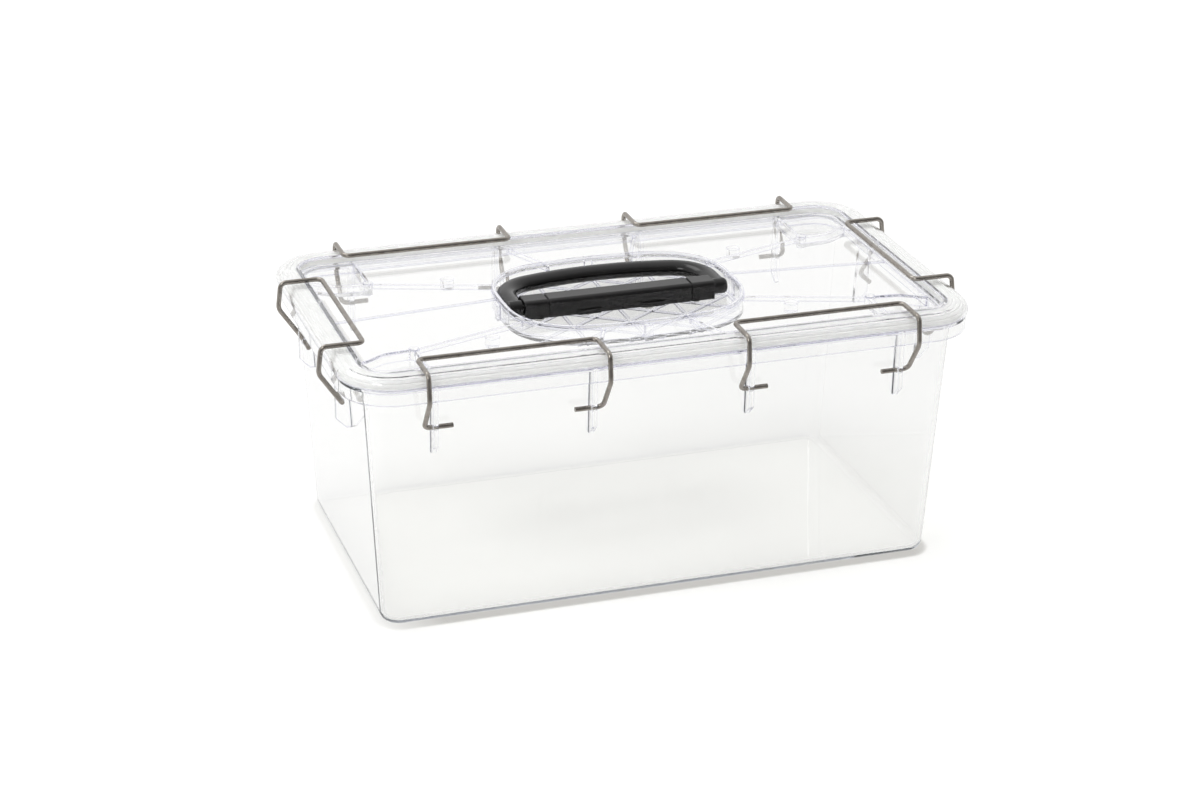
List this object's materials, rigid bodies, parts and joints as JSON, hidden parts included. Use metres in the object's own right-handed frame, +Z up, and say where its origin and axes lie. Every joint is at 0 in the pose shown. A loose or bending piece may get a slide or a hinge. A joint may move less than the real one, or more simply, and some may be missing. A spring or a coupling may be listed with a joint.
{
  "type": "transport container",
  "caption": "Clear rigid box with a sealed flat lid, wire clips that hook over its rim, and a folding bail handle sunk in an oval well of the lid.",
  "frame": {"origin": "middle of the tub's underside, on the surface that the container stands on", "axes": "+X along the container's length, to the right seen from the front; +Y to the back, where the folded bail lies; +Z up"},
  "size_m": [0.4126, 0.2386, 0.1725],
  "materials": {
    "clear_tub": "gloss",
    "clear_lid": "gloss",
    "seal": "satin",
    "wire": "satin",
    "handle_black": "satin",
    "fastener": "satin",
    "washer": "matte"
  },
  "bodies": {
    "container": {"tub": "clear_tub", "lid": "clear_lid", "lid_seal": "seal", "handle_bridge": "handle_black", "handle_cap_left": "handle_black", "handle_cap_right": "handle_black", "screw_left_cap": "fastener", "screw_bridge_left": "fastener", "screw_bridge_right": "fastener", "screw_right_cap": "fastener", "washer_left_cap": "washer", "washer_bridge_left": "washer", "washer_bridge_right": "washer", "washer_right_cap": "washer"},
    "clip_front_left": {"clip_front_left": "wire"},
    "clip_front_right": {"clip_front_right": "wire"},
    "clip_back_left": {"clip_back_left": "wire"},
    "clip_back_right": {"clip_back_right": "wire"},
    "clip_left_end": {"clip_left_end": "wire"},
    "clip_right_end": {"clip_right_end": "wire"},
    "bail": {"handle_bail": "handle_black", "pivot_pin_left": "fastener", "pivot_pin_right": "fastener"}
  },
  "joints": [
    {"name": "clip_front_left_swing", "type": "hinge", "parent": "container", "child": "clip_front_left", "pos_m": [-0.0987, -0.1035, 0.1328], "axis": [1, 0, 0], "range_deg": [0, 150]},
    {"name": "clip_front_right_swing", "type": "hinge", "parent": "container", "child": "clip_front_right", "pos_m": [0.0987, -0.1035, 0.1328], "axis": [1, 0, 0], "range_deg": [0, 150]},
    {"name": "clip_back_left_swing", "type": "hinge", "parent": "container", "child": "clip_back_left", "pos_m": [-0.0987, 0.1035, 0.1328], "axis": [-1, 0, 0], "range_deg": [0, 150]},
    {"name": "clip_back_right_swing", "type": "hinge", "parent": "container", "child": "clip_back_right", "pos_m": [0.0987, 0.1035, 0.1328], "axis": [-1, 0, 0], "range_deg": [0, 150]},
    {"name": "clip_left_end_swing", "type": "hinge", "parent": "container", "child": "clip_left_end", "pos_m": [-0.1905, 0, 0.1328], "axis": [0, -1, 0], "range_deg": [0, 150]},
    {"name": "clip_right_end_swing", "type": "hinge", "parent": "container", "child": "clip_right_end", "pos_m": [0.1905, 0, 0.1328], "axis": [0, 1, 0], "range_deg": [0, 150]},
    {"name": "bail_swing", "type": "hinge", "parent": "container", "child": "bail", "pos_m": [0, 0, 0.1589], "axis": [1, 0, 0], "range_deg": [0, 180]}
  ]
}
